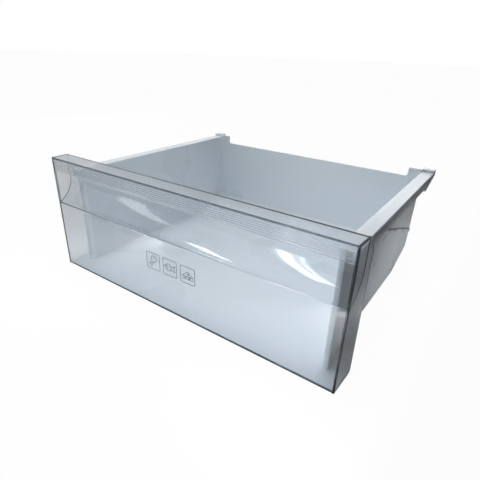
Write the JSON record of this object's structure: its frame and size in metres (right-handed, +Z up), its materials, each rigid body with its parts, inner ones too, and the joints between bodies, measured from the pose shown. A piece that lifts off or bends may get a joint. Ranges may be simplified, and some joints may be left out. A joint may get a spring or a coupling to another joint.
{
  "type": "fridge drawer",
  "caption": "Fridge-freezer drawer: opaque tub with a down-turned rail along each side, closed at the front by a clear panel with a finger scoop under a reeded lip.",
  "frame": {"origin": "middle of the drawer's outline, on the surface that it stands on", "axes": "+X to the right seen from the front, +Y to the rear, +Z up"},
  "size_m": [0.453, 0.374, 0.169],
  "materials": {
    "tub": "satin light blue-grey moulding",
    "clear_panel": "clear polished moulding with a faint grey-blue tint"
  },
  "bodies": {
    "root": {"drawer_tub": "tub", "front_panel": "clear_panel"}
  },
  "joints": []
}
